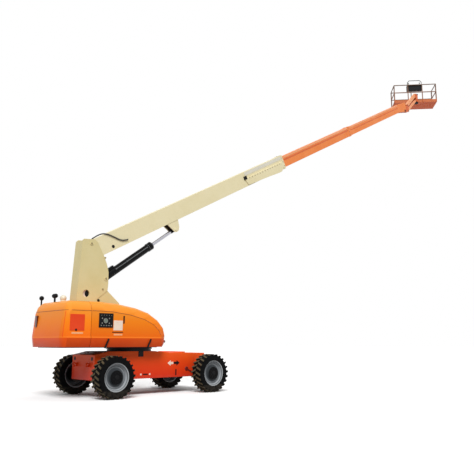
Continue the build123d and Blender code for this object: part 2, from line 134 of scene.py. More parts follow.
@dataclass(frozen=True)
class Finish:
    """A surface as it was made: its colour drifts in patches, and a fine grain roughens it.

    Patches and grain are sizes in millimetres. The grain of sprayed and moulded skins is under 1 mm, too
    fine to show, so it is drawn several times coarser.
    """

    name: str
    colour: str
    shade: str
    roughness: float
    ior: float = 1.5
    metallic: float = 0.0
    coat: float = 0.0
    patch_mm: float = 450.0
    grain_mm: float = 8.0
    grain_depth: float = 0.12
    duller: float = 0.07
    glossier: float = 0.06
    soil: str = "#8D8272"
    soil_top: float = 0.0
    soil_full: float = 0.2
    soil_cover: float = 0.5

    def tone(self, tree: bpy.types.NodeTree, place: bpy.types.NodeSocket,
             patch: bpy.types.NodeSocket) -> bpy.types.NodeSocket:
        """Mixes the two colours by the patches.

        Args:
            tree: The material's nodes.
            place: Object coordinates, not used by this plain finish.
            patch: Noise from 0 to 1.

        Returns:
            The colour socket.
        """
        ends = {"Factor": patch, 6: linear(self.colour), 7: linear(self.shade)}
        return add_node(tree, "ShaderNodeMix", ends, data_type="RGBA").outputs[2]

    def soiled(self, tree: bpy.types.NodeTree, place: bpy.types.NodeSocket, patch: bpy.types.NodeSocket,
               colour: bpy.types.NodeSocket) -> bpy.types.NodeSocket:
        """Lays road dust over the low parts.

        Args:
            tree: The material's nodes.
            place: Object coordinates.
            patch: Noise that breaks the dust's edge.
            colour: Colour under the dust.

        Returns:
            The colour socket with dust, or the same one where the finish has none.
        """
        if self.soil_top <= 0:
            return colour
        height = add_node(tree, "ShaderNodeSeparateXYZ", {0: place}).outputs["Z"]
        fade = {0: height, 1: self.soil_top, 2: self.soil_full, 3: 0.0, 4: self.soil_cover}
        low = add_node(tree, "ShaderNodeMapRange", fade).outputs[0]
        amount = add_node(tree, "ShaderNodeMath", {0: low, 1: patch}, operation="MULTIPLY").outputs[0]
        return add_node(tree, "ShaderNodeMix", {"Factor": amount, 6: colour, 7: linear(self.soil)},
                        data_type="RGBA").outputs[2]

    def material(self) -> bpy.types.Material:
        """Makes the material, or finds it where it was made before.

        Returns:
            The material, with its nodes.
        """
        found = bpy.data.materials.get(self.name)
        if found:
            return found
        made = bpy.data.materials.new(self.name)
        made.use_nodes = True
        tree = made.node_tree
        tree.nodes.clear()
        place = add_node(tree, "ShaderNodeTexCoord").outputs["Object"]
        noise = {"Vector": place, "Scale": 1000 / self.patch_mm, "Detail": 5.0, "Roughness": 0.62}
        wide = add_node(tree, "ShaderNodeTexNoise", noise).outputs[0]
        patch = add_node(tree, "ShaderNodeMapRange", {0: wide, 1: 0.3, 2: 0.7}).outputs[0]
        colour = self.soiled(tree, place, patch, self.tone(tree, place, patch))
        gloss = {0: patch, 3: self.roughness - self.glossier, 4: self.roughness + self.duller}
        rough = add_node(tree, "ShaderNodeMapRange", gloss).outputs[0]
        noise = {"Vector": place, "Scale": 1000 / self.grain_mm, "Detail": 2.0}
        grain = add_node(tree, "ShaderNodeTexNoise", noise).outputs[0]
        depth = {"Height": grain, "Strength": self.grain_depth, "Distance": self.grain_mm * MM / 6}
        bump = add_node(tree, "ShaderNodeBump", depth).outputs[0]
        skin = {"Base Color": colour, "Roughness": rough, "Metallic": self.metallic, "IOR": self.ior,
                "Coat Weight": self.coat, "Coat Roughness": 0.12, "Normal": bump}
        shader = add_node(tree, "ShaderNodeBsdfPrincipled", skin)
        add_node(tree, "ShaderNodeOutputMaterial", {"Surface": shader.outputs[0]})
        return made


@dataclass(frozen=True)
class BandedFinish(Finish):
    """A finish in bands: each is a height in metres and the colour there, blended up to the next."""

    bands: tuple[tuple[float, str], ...] = ()
    drift: float = 0.3

    def measure(self, tree: bpy.types.NodeTree, place: bpy.types.NodeSocket) -> bpy.types.NodeSocket:
        """Reads the height from Object coordinates."""
        return add_node(tree, "ShaderNodeSeparateXYZ", {0: place}).outputs["Z"]

    def tone(self, tree: bpy.types.NodeTree, place: bpy.types.NodeSocket,
             patch: bpy.types.NodeSocket) -> bpy.types.NodeSocket:
        """Reads the colour from the bands.

        Args:
            tree: The material's nodes.
            place: Object coordinates.
            patch: Noise from 0 to 1, which drifts the colour a little.

        Returns:
            The colour socket.
        """
        low, high = self.bands[0][0], self.bands[-1][0]
        span = {0: self.measure(tree, place), 1: low, 2: high}
        share = add_node(tree, "ShaderNodeMapRange", span).outputs[0]
        stops = [((at - low) / (high - low), code) for at, code in self.bands]
        colour = add_node(tree, "ShaderNodeValToRGB", {0: share}, stops).outputs[0]
        worn = add_node(tree, "ShaderNodeMath", {0: patch, 1: self.drift}, operation="MULTIPLY").outputs[0]
        return add_node(tree, "ShaderNodeMix", {"Factor": worn, 6: colour, 7: linear(self.shade)},
                        data_type="RGBA").outputs[2]


@dataclass(frozen=True)
class WheelFinish(BandedFinish):
    """A finish in rings round a wheel's axis: each band is a radius in metres and the colour there."""

    centre: tuple[float, float] = (0.0, 0.0)

    def measure(self, tree: bpy.types.NodeTree, place: bpy.types.NodeSocket) -> bpy.types.NodeSocket:
        """Reads the distance to the wheel's axis.

        Args:
            tree: The material's nodes.
            place: Object coordinates.

        Returns:
            The distance's socket, in metres.
        """
        x, z = self.centre
        centred = {0: place, "Location": (-x, 0.0, -z), "Scale": (1.0, 0.0, 1.0)}
        moved = add_node(tree, "ShaderNodeMapping", centred).outputs[0]
        return add_node(tree, "ShaderNodeVectorMath", {0: moved}, operation="LENGTH").outputs["Value"]


# Gel-coated moulded hoods: an orange gloss with a faint ripple. The bands paint light and shade: lighter
# towards the top, a painted highlight just above the ledge, and painted shade on the redder skirt below it.
HOOD = BandedFinish("moulded_orange_hood", "#F68C26", "#F48A28", 0.38, ior=1.22, coat=0.04, patch_mm=700,
                    grain_mm=30, grain_depth=0.03, drift=0.12,
                    bands=((1.25, "#C83A0A"), (1.475, "#E04C08"), (1.49, "#F67E22"), (1.53, "#EE6A0C"),
                           (1.9, "#F68414"), (2.4, "#F29E3C")))
# Sprayed steel plate: satin orange-red with dust near the ground. The bands paint light and shade on it:
# darker and redder towards the bottom, lighter and more orange towards the top.
CHASSIS = BandedFinish("sprayed_red_frame", "#E4451C", "#DC3A14", 0.4, ior=1.22, coat=0.03, patch_mm=350,
                       grain_mm=12, grain_depth=0.06, soil_top=0.52, drift=0.25,
                       bands=((0.42, "#D42E16"), (0.8, "#EA4614"), (1.1, "#F45E1C")))
# Sprayed steel, cream: satin, with a slight warm drift from sun. The tower's copy is darker than the
# boom's, which paints shade on the tower.
TOWER = Finish("sprayed_cream_tower", "#DACD9C", "#D3C590", 0.42, ior=1.32, patch_mm=600, grain_mm=14,
               grain_depth=0.05)
BASE = Finish("sprayed_cream_boom", "#EADFB8", "#E4D8AE", 0.42, ior=1.32, patch_mm=800, grain_mm=14,
              grain_depth=0.05)
# Sprayed steel, orange: satin, fading in patches.
ORANGE = Finish("sprayed_orange_boom", "#F28E4E", "#EA8140", 0.4, ior=1.3, patch_mm=500, grain_mm=12,
                grain_depth=0.06)
# Black chassis enamel: dark, satin, dusty in patches.
BLACK = Finish("black_enamel", "#0C0C0E", "#141416", 0.42, ior=1.24, patch_mm=160, grain_mm=6, soil_top=0.6)
# Cylinder barrel: black enamel, glossy.
BARREL = Finish("gloss_black_barrel", "#070708", "#0C0C0E", 0.28, ior=1.2, patch_mm=200, grain_mm=8,
                grain_depth=0.03)
# Oil line and gland rings: grey sprayed steel. The line is a painted highlight, standing in for the light
# streak along the barrel, and the rings are painted highlights on the gland's edges.
HIGHLIGHT_LINE = Finish("sprayed_grey_line", "#65696B", "#5A5E60", 0.4, ior=1.3, patch_mm=60, grain_mm=5,
              grain_depth=0.05)
# Moulded black ABS: matt, fine spark-eroded grain.
PLASTIC = Finish("black_moulded_plastic", "#0E0E10", "#161618", 0.5, ior=1.2, patch_mm=120, grain_mm=4,
                 grain_depth=0.2)
# Powder-coated tube: grey-brown, patchy from hands and tools, over orange toe-boards.
RAIL = BandedFinish("powder_coated_rail", "#6A5F56", "#4E453E", 0.48, ior=1.36, patch_mm=90, grain_mm=5,
                    grain_depth=0.15, drift=0.3,
                    bands=((13.5, "#CC6630"), (13.697, "#D4723A"), (13.703, "#A06846"), (14.2, "#8C6650"),
                           (14.6, "#76604F")))
# Sprayed floor plate: brick orange, dulled in patches by boots.
FLOOR = Finish("sprayed_basket_floor", "#E0601E", "#D45618", 0.5, ior=1.36, patch_mm=180, grain_mm=8)
# Hard-chromed rod: near mirror, faintly clouded by old oil.
CHROME = Finish("hard_chrome", "#B9B9C0", "#ACACB4", 0.24, metallic=1.0, patch_mm=90, grain_mm=3,
                grain_depth=0.03)
# Hydraulic hose: brown-black rubber, matt.
HOSE = Finish("hose_rubber", "#2A1E12", "#1C150E", 0.62, ior=1.2, patch_mm=60, grain_mm=3, grain_depth=0.2)
# Dark brown inside the cylinder's lug: painted shade in the gap between its plates.
LUG_SHADE = Finish("greased_steel", "#33210F", "#26180B", 0.5, ior=1.3, patch_mm=80, grain_mm=5)
# Cast iron, dark and coarse.
CAST = Finish("painted_casting", "#2C2C2E", "#232325", 0.6, patch_mm=90, grain_mm=9, grain_depth=0.3)
# Moulded acrylic: a dark red lens and a pale dome, both shiny.
LENS = Finish("red_lens", "#5A1412", "#48100E", 0.2, coat=0.4, patch_mm=60, grain_mm=5)
DOME = Finish("pale_moulded_dome", "#E6DCC6", "#DCD0B6", 0.3, coat=0.3, patch_mm=80, grain_mm=5,
              grain_depth=0.05)
# Strips and paint on the sliding sections and the jib: a bare wear strip, a lighter orange that is partly
# painted highlight, and a darker orange that is painted shade and shadow.
PALE = Finish("pale_wear_strip", "#DFDACA", "#D5D0BE", 0.4, patch_mm=300, grain_mm=10, grain_depth=0.05)
PALE_ORANGE = Finish("faded_orange_strip", "#F2A878", "#EE9C68", 0.42, patch_mm=300, grain_mm=10,
                     grain_depth=0.05)
DEEP_ORANGE = Finish("shaded_orange_strip", "#D9662C", "#D05E26", 0.45, patch_mm=300, grain_mm=10,
                     grain_depth=0.05)
# Sprayed steel panel, red and satin.
PANEL_RED = Finish("sprayed_red_panel", "#EA4A22", "#E4441C", 0.4, ior=1.26, patch_mm=260, grain_mm=12,
                   grain_depth=0.05)
# Vinyl film without print: white, or faded into the paint.
LABEL = Finish("blank_white_film", "#F3DECB", "#EAD2BE", 0.4, patch_mm=60, grain_mm=5, grain_depth=0.04)
FADED_LABEL = Finish("faded_film", "#F5B684", "#F0AC78", 0.4, ior=1.3, patch_mm=60, grain_mm=5,
                     grain_depth=0.04)
# Zinc-plated bolts and levers: grey metal, dulled.
STEEL = Finish("zinc_plated_steel", "#8E8C86", "#7C7A74", 0.36, metallic=0.9, patch_mm=40, grain_mm=3)
# Bolts sprayed over with the tower's cream, drawn darker than it.
PAINTED_BOLT = Finish("sprayed_cream_bolt", "#AC9E74", "#9A8C64", 0.42, patch_mm=40, grain_mm=5)
# Gauge glass over a grey-green face.
GAUGE = Finish("gauge_face", "#6C786C", "#5C685C", 0.3, coat=0.4, patch_mm=40, grain_mm=4, grain_depth=0.03)
# Sealing bead in the hoods' creases: brown rubber.
BEAD = Finish("brown_sealing_bead", "#A04C1A", "#8E4014", 0.5, patch_mm=60, grain_mm=4)
# Moulded knobs, dark red.
KNOB = Finish("red_moulded_knob", "#7A1E16", "#681811", 0.4, patch_mm=50, grain_mm=4)


def weigh_normals(mesh: bpy.types.Mesh, sharp: float, crowned: bool) -> None:
    """Shades rounded edges smooth while each large face stays flat, by weighing normals by face area.

    Args:
        mesh: The mesh, which gets its own normals.
        sharp: Faces that turn by more than this, in degrees, meet in a hard edge.
        crowned: Whether faces of middling size are panes of one curved skin, which then weigh alike.
    """
    faces = mesh.polygons
    around: dict[int, list[tuple[Vector, float]]] = defaultdict(list)
    for face in faces:
        weight = face.area if not crowned or face.area > FLAT_AREA else min(face.area, PANE_AREA)
        for corner in face.vertices:
            around[corner].append((face.normal.copy(), weight))
    least = math.cos(math.radians(sharp))
    normals = []
    for face in faces:
        for corner in face.vertices:
            near = (normal * weight for normal, weight in around[corner] if normal.dot(face.normal) > least)
            normals.append(sum(near, face.normal * 1e-9).normalized())
    mesh.normals_split_custom_set(normals)


def settle(bm: bmesh.types.BMesh, name: str, body: str, finish: Finish,
           sharp: float = 50.0, crowned: bool = False) -> bpy.types.Object:
    """Turns a finished bmesh into a piece that rides on a body.

    Args:
        bm: The shape, in the row frame; it is freed.
        name: The piece's name.
        body: CAD body that carries it.
        finish: Its surface.
        sharp: Edges sharper than this, in degrees, stay hard.
        crowned: Whether its skin is curved all over.

    Returns:
        The new object.
    """
    bmesh.ops.remove_doubles(bm, verts=bm.verts, dist=0.02 * MM)
    bmesh.ops.recalc_face_normals(bm, faces=bm.faces)
    mesh = bpy.data.meshes.new(name)
    bm.to_mesh(mesh)
    bm.free()
    mesh.shade_smooth()
    weigh_normals(mesh, sharp, crowned)
    mesh.materials.append(finish.material())
    made = bpy.data.objects.new(name, mesh)
    bpy.context.scene.collection.objects.link(made)
    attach(made, body)
    LOG.info("%s: %d faces on %s", name, len(mesh.polygons), body)
    return made


def body_of_node(node: str) -> str:
    """Finds the body that carries a CAD node."""
    return frame["nodes"][node]["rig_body"]


def eased(node: str, finish: Finish, radius_mm: float, sharp: float = 50.0, least: float = 40.0,
          crowned: bool = False) -> bpy.types.Object:
    """Makes a piece of a CAD node with its hard edges rounded over, to stand for the node.

    Args:
        node: The CAD node.
        finish: Its surface.
        radius_mm: Size of the rounding, or 0 for none.
        sharp: Edges sharper than this, in degrees, stay hard in shading.
        least: Only edges that turn by more than this, in degrees, are rounded.
        crowned: Whether its skin is curved all over.

    Returns:
        The piece.
    """
    bm = bmesh.new()
    bm.from_mesh(frame["nodes"][node].data)
    bmesh.ops.remove_doubles(bm, verts=bm.verts, dist=0.01 * MM)
    bmesh.ops.dissolve_limit(bm, angle_limit=math.radians(0.6), verts=bm.verts, edges=bm.edges)
    if radius_mm:
        hard = [e for e in bm.edges if e.is_manifold and e.calc_face_angle(0.0) > math.radians(least)]
        bmesh.ops.bevel(bm, geom=hard, offset=radius_mm * MM, offset_type="OFFSET", segments=2, profile=0.5,
                        affect="EDGES", material=-1, clamp_overlap=True)
    made = settle(bm, f"{node}_skin", body_of_node(node), finish, sharp, crowned)
    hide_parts(node)
    return made


def dress(node: str, finish: Finish) -> None:
    """Gives a CAD node, whose shape stays, its surface.

    Args:
        node: The CAD node.
        finish: Its surface.
    """
    mesh = frame["nodes"][node].data
    mesh.materials.clear()
    mesh.materials.append(finish.material())


def add_box(bm: bmesh.types.BMesh, low: Point, high: Point, place: Matrix | None = None,
            radius_mm: float = 3.0) -> None:
    """Adds a box with rounded edges.

    Args:
        bm: Shape that gets the box.
        low: Lowest corner.
        high: Highest corner.
        place: Frame that the corners are in, or None for the row frame.
        radius_mm: Size of the rounding.
    """
    middle = (Vector(low) + Vector(high)) / 2
    size = Vector(high) - Vector(low)
    shape = Matrix.Translation(middle) @ Matrix.Diagonal((*size, 1.0))
    made = bmesh.ops.create_cube(bm, size=1.0, matrix=(place or Matrix()) @ shape)
    edges = list(dict.fromkeys(e for v in made["verts"] for e in v.link_edges))
    offset = min(radius_mm * MM, min(size) * 0.4)
    bmesh.ops.bevel(bm, geom=edges, offset=offset, offset_type="OFFSET", segments=2, profile=0.5,
                    affect="EDGES", material=-1)


def add_rod(bm: bmesh.types.BMesh, start: Point, end: Point, radius: float, tip: float | None = None,
            segments: int = 20, edge_mm: float = 2.0) -> None:
    """Adds a round rod, straight or tapered, with eased ends.

    Args:
        bm: Shape that gets the rod.
        start: Middle of one end.
        end: Middle of the other.
        radius: Radius at the start.
        tip: Radius at the end, if it tapers.
        segments: Sides of the rod; six makes a nut.
        edge_mm: Size of the rounding at its ends.
    """
    a, b = Vector(start), Vector(end)
    turn = (b - a).to_track_quat("Z", "Y").to_matrix().to_4x4()
    made = bmesh.ops.create_cone(bm, cap_ends=True, segments=segments, radius1=radius,
                                 radius2=radius if tip is None else tip, depth=(b - a).length,
                                 matrix=Matrix.Translation((a + b) / 2) @ turn)
    caps = dict.fromkeys(f for v in made["verts"] for f in v.link_faces if len(f.verts) == segments)
    edges = list(dict.fromkeys(e for f in caps for e in f.edges))
    bmesh.ops.bevel(bm, geom=edges, offset=edge_mm * MM, offset_type="OFFSET", segments=2, profile=0.5,
                    affect="EDGES", material=-1)


def add_patch(bm: bmesh.types.BMesh, low: tuple[float, float], high: tuple[float, float], y: float,
              proud: float, sunk: float = 0.0, radius_mm: float = 3.0) -> None:
    """Adds a thin plate on an upright side face.

    Args:
        bm: Shape that gets the plate.
        low: Its lowest corner in X and Z.
        high: Its highest corner in X and Z.
        y: The side face's Y, whose sign is the way out.
        proud: How far the plate stands out of the face.
        sunk: How far it is let into the face.
        radius_mm: Size of the rounding.
    """
    out = math.copysign(1.0, y)
    near, far = sorted((y - out * sunk, y + out * proud))
    add_box(bm, (low[0], near, low[1]), (high[0], far, high[1]), radius_mm=radius_mm)


def add_stud(bm: bmesh.types.BMesh, at: tuple[float, float], foot: float, head: float, radius: float,
             tip: float | None = None, segments: int = 20, edge_mm: float = 2.0) -> None:
    """Adds a short rod that points across the machine.

    Args:
        bm: Shape that gets the stud.
        at: X and Z of its axis.
        foot: Y of its foot.
        head: Y of its head.
        radius: Radius at its foot.
        tip: Radius at its head, if it tapers.
        segments: Sides of the stud; six makes a nut.
        edge_mm: Size of the rounding at its ends.
    """
    add_rod(bm, (at[0], foot, at[1]), (at[0], head, at[1]), radius, tip, segments, edge_mm)


def add_ring(bm: bmesh.types.BMesh, start: Point, end: Point, outer: float, inner: float,
             edge_mm: float = 3.0) -> None:
    """Adds a ring by spinning its section, with eased outer edges.

    Args:
        bm: Shape that gets the ring.
        start: Middle of one end.
        end: Middle of the other.
        outer: Outer radius.
        inner: Radius of the bore.
        edge_mm: Size of the easing.
    """
    foot, span = Vector(start), Vector(end) - Vector(start)
    along = span.normalized()
    out = along.orthogonal().normalized()
    ease = edge_mm * MM
    section = ((inner, 0.0), (outer - ease, 0.0), (outer, ease), (outer, span.length - ease),
               (outer - ease, span.length), (inner, span.length))
    verts = [bm.verts.new(foot + out * radius + along * at) for radius, at in section]
    edges = [bm.edges.new(pair) for pair in zip(verts, [*verts[1:], verts[0]])]
    bmesh.ops.spin(bm, geom=[*verts, *edges], cent=foot, axis=along, angle=2 * math.pi, steps=40,
                   use_merge=True)


def add_bolt(bm: bmesh.types.BMesh, at: Point, out: Point, radius: float = 0.016) -> None:
    """Adds a hexagon bolt head on its washer.

    Args:
        bm: Shape that gets the bolt.
        at: Point on the surface.
        out: Direction that the head points.
        radius: Radius of the head.
    """
    foot, way = Vector(at), Vector(out).normalized()
    add_rod(bm, tuple(foot - way * radius * 0.2), tuple(foot + way * radius * 0.25), radius * 1.5,
            edge_mm=0.8)
    add_rod(bm, tuple(foot + way * radius * 0.2), tuple(foot + way * radius * 1.0), radius, segments=6,
            edge_mm=1.2)


def add_plate(bm: bmesh.types.BMesh, outline: Sequence[tuple[float, float]], y0: float, y1: float,
              edge_mm: float = 2.0) -> None:
    """Adds an upright plate from an outline in X and Z.

    Args:
        bm: Shape that gets the plate.
        outline: Corners in order.
        y0: One face's Y.
        y1: The other face's Y.
        edge_mm: Size of the rounding.
    """
    face = bm.faces.new([bm.verts.new((x, y0, z)) for x, z in outline])
    made = bmesh.ops.extrude_face_region(bm, geom=[face])
    moved = [v for v in made["geom"] if isinstance(v, bmesh.types.BMVert)]
    bmesh.ops.translate(bm, verts=moved, vec=(0.0, y1 - y0, 0.0))
    edges = list(dict.fromkeys(e for v in [*moved, *face.verts] for e in v.link_edges))
    bmesh.ops.bevel(bm, geom=edges, offset=edge_mm * MM, offset_type="OFFSET", segments=1, profile=0.5,
                    affect="EDGES", material=-1)


def joint_place(name: str) -> Vector:
    """Finds a joint's pivot in the record."""
    return Vector(next(j["pos_m"] for j in frame["joints"] if j["name"] == name))


def joint_axis(name: str) -> Vector:
    """Finds a joint's axis in the record."""
    return Vector(next(j["axis"] for j in frame["joints"] if j["name"] == name))


def boom_frame() -> Matrix:
    """Makes the boom's own frame.

    Returns:
        The frame: X along the boom from its pivot, Z square to it.
    """
    along = joint_axis("mid_slide")
    turn = Matrix.Rotation(-math.atan2(along.z, along.x), 4, "Y")
    return Matrix.Translation(joint_place("boom_lift")) @ turn


def basket_frame() -> Matrix:
    """Makes the basket's own frame.

    Returns:
        The frame: X over the floor from the rotator, Z up from the floor's underside.
    """
    hinge = joint_place("platform_rotate")
    foot = (hinge.x, hinge.y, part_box("basket_floor")[0].z)
    return Matrix.Translation(foot) @ Matrix.Rotation(math.radians(BASKET_TURN), 4, "Z")


@dataclass
class Chassis:
    """The frame, its axles and the marks on its near side."""

    side_y: float = -0.59
    rear_x: float = -1.365
    proud: float = 0.004
    sunk: float = 0.002
    hatch_at: tuple[float, float] = (0.0, 1.075)
    hatch_half: float = 0.0775
    hatch_thick: float = 0.012
    hatch_bolt_off: float = 0.055
    hatch_bolt_radius: float = 0.008
    arrow_z: float = 0.81
    arrow_film: float = 0.003
    arrow: tuple[tuple[float, float], ...] = (
        (0.0, 0.032), (0.09, 0.032), (0.09, 0.075), (0.2, 0.0), (0.09, -0.075), (0.09, -0.032),
        (0.0, -0.032))
    slots: tuple[tuple[float, float, float, float], ...] = (
        (1.155, 0.476, 1.195, 0.64), (0.08, 0.518, 0.24, 0.55))
    lifting_hole: tuple[float, float, float] = (0.456, 0.959, 0.05)
    film_at: tuple[tuple[float, float], ...] = ((0.02, 0.534), (0.30, 0.534))
    film_half: float = 0.022
    release_at: tuple[float, float] = (1.546, 0.646)
    release_boss: tuple[float, float] = (0.062, 0.054)
    release_bar: tuple[Point, Point] = ((0.0, -0.014, -0.02), (0.245, 0.002, 0.02))
    release_turn: float = 28.0

    def build(self) -> None:
        """Dresses the frame and adds the fittings on its side."""
        eased("chassis_frame", CHASSIS, 8)
        for node in ("rear_axle", "front_axle", "knuckle_left", "knuckle_right", "tie_rod", "slew_ring"):
            dress(node, BLACK)
        eased("tie_down_lugs", CHASSIS, 3)
        self.hatch_covers()
        self.drive_marks()
        self.dark_slots()
        self.slot_films()
        self.tow_release()

    def hatch_covers(self) -> None:
        """Adds the black hatch under the turntable, with its corner bolts, on both sides."""
        x, z = self.hatch_at
        half, off = self.hatch_half, self.hatch_bolt_off
        bm = bmesh.new()
        for side in Side:
            y = -side.value * self.side_y
            add_patch(bm, (x - half, z - half), (x + half, z + half), y, self.hatch_thick, radius_mm=5)
            for dx in (-off, off):
                for dz in (-off, off):
                    head = (x + dx, y + side.value * self.hatch_thick, z + dz)
                    add_bolt(bm, head, (0, side.value, 0), self.hatch_bolt_radius)
        settle(bm, "frame_hatches", "chassis", BLACK)

    def drive_marks(self) -> None:
        """Adds the pair of drive-direction arrows, one pale and one black."""
        y = self.side_y
        for name, finish, x, way in (("arrow_pale", LABEL, 1.08, -1), ("arrow_black", PLASTIC, 1.10, 1)):
            bm = bmesh.new()
            outline = [(x + way * dx, self.arrow_z + dz) for dx, dz in self.arrow]
            add_plate(bm, outline, y - self.arrow_film, y + 0.001, 0.5)
            settle(bm, name, "chassis", finish)

    def dark_slots(self) -> None:
        """Adds dark slots, and black discs in the rear lifting holes as painted shade in them."""
        bm = bmesh.new()
        for x0, z0, x1, z1 in self.slots:
            add_patch(bm, (x0, z0), (x1, z1), self.side_y, self.proud, self.sunk, 2)
        y, z, radius = self.lifting_hole
        for side in Side:
            foot = (self.rear_x + self.sunk, side.value * y, z)
            add_rod(bm, foot, (self.rear_x - self.proud, side.value * y, z), radius)
        settle(bm, "frame_slots", "chassis", PLASTIC)

    def slot_films(self) -> None:
        """Adds the blank films at the ends of the long slot."""
        bm = bmesh.new()
        half = self.film_half
        for x, z in self.film_at:
            add_patch(bm, (x - half, z - half), (x + half, z + half), self.side_y, self.proud, self.sunk, 1)
        settle(bm, "frame_slot_labels", "chassis", LABEL)

    def tow_release(self) -> None:
        """Adds the tow release: a boss with its bar."""
        x, z = self.release_at
        y = self.side_y
        bm = bmesh.new()
        add_stud(bm, (x, z), y + 0.004, y - 0.016, *self.release_boss, edge_mm=5)
        turn = Matrix.Rotation(math.radians(self.release_turn), 4, "Y")
        add_box(bm, *self.release_bar, Matrix.Translation((x, y, z)) @ turn, radius_mm=4)
        settle(bm, "tow_release", "chassis", KNOB)


@dataclass
class RunningGear:
    """Tyres, rims and their nuts, at each of the four wheels."""

    nuts: int = 9
    nut_circle: float = 0.112
    nut_radius: float = 0.014
    nut_height: float = 0.013
    cap_height: float = 0.012
    cap_radii: tuple[float, float] = (0.06, 0.05)
    # Rings of the rim: the dark ones in its grooves and the darkening towards the hub are painted shade.
    rim_rings: tuple[tuple[float, str], ...] = (
        (0.0, "#08080A"), (0.168, "#0A0A0C"), (0.174, "#34373A"), (0.225, "#54585C"), (0.258, "#9A9EA2"),
        (0.27, "#4E5254"), (0.282, "#8A8E92"), (0.304, "#A8ACB0"), (0.316, "#565A5C"), (0.326, "#A8ACB0"),
        (0.345, "#BCC0C2"))
    tyre_rings: tuple[tuple[float, str], ...] = (
        (0.0, "#09090A"), (0.499, "#0C0C0D"), (0.512, "#26221D"), (0.52, "#5C523F"))

    def build(self) -> None:
        """Dresses the four wheels."""
        for axle in ("rear", "front"):
            for side in Side:
                self.wheel(f"{axle}_{side.name.lower()}", side)

    def wheel(self, name: str, side: Side) -> None:
        """Dresses one wheel and adds its nuts.

        Args:
            name: Axle and side, as in the node's name.
            side: Side of the machine.
        """
        low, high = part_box(f"rim_{name}")
        x, z = (low.x + high.x) / 2, (low.z + high.z) / 2
        face = high.y if side is Side.LEFT else low.y
        # Sprayed steel rim: grey, with a black hub; the darker rings in its grooves and towards the hub are
        # painted shade.
        rim = WheelFinish(f"sprayed_grey_rim_{name}", "#A6A6AA", "#8C8C90", 0.45, ior=1.16, patch_mm=120,
                          grain_mm=8, centre=(x, z), drift=0.01, bands=self.rim_rings)
        # Moulded tyre rubber: matt black, beige at the outer tops of the lugs, with dry soil low down.
        tyre = WheelFinish(f"lugged_tyre_{name}", "#0C0C0D", "#141312", 0.75, ior=1.14, patch_mm=70,
                           grain_mm=7, grain_depth=0.35, centre=(x, z), soil_top=0.22, soil="#4A443C",
                           drift=0.08, bands=self.tyre_rings)
        eased(f"rim_{name}", rim, 0, sharp=28)
        eased(f"tyre_{name}", tyre, 7, sharp=40, least=50)
        bm = bmesh.new()
        top = face + side.value * self.nut_height
        for i in range(self.nuts):
            a = 2 * math.pi * i / self.nuts
            at = (x + self.nut_circle * math.cos(a), z + self.nut_circle * math.sin(a))
            add_stud(bm, at, face, top, self.nut_radius, segments=6, edge_mm=1.5)
        foot, head = face - side.value * 0.002, face + side.value * self.cap_height
        add_stud(bm, (x, z), foot, head, *self.cap_radii, edge_mm=4)
        settle(bm, f"hub_nuts_{name}", f"wheel_{name}", PLASTIC)


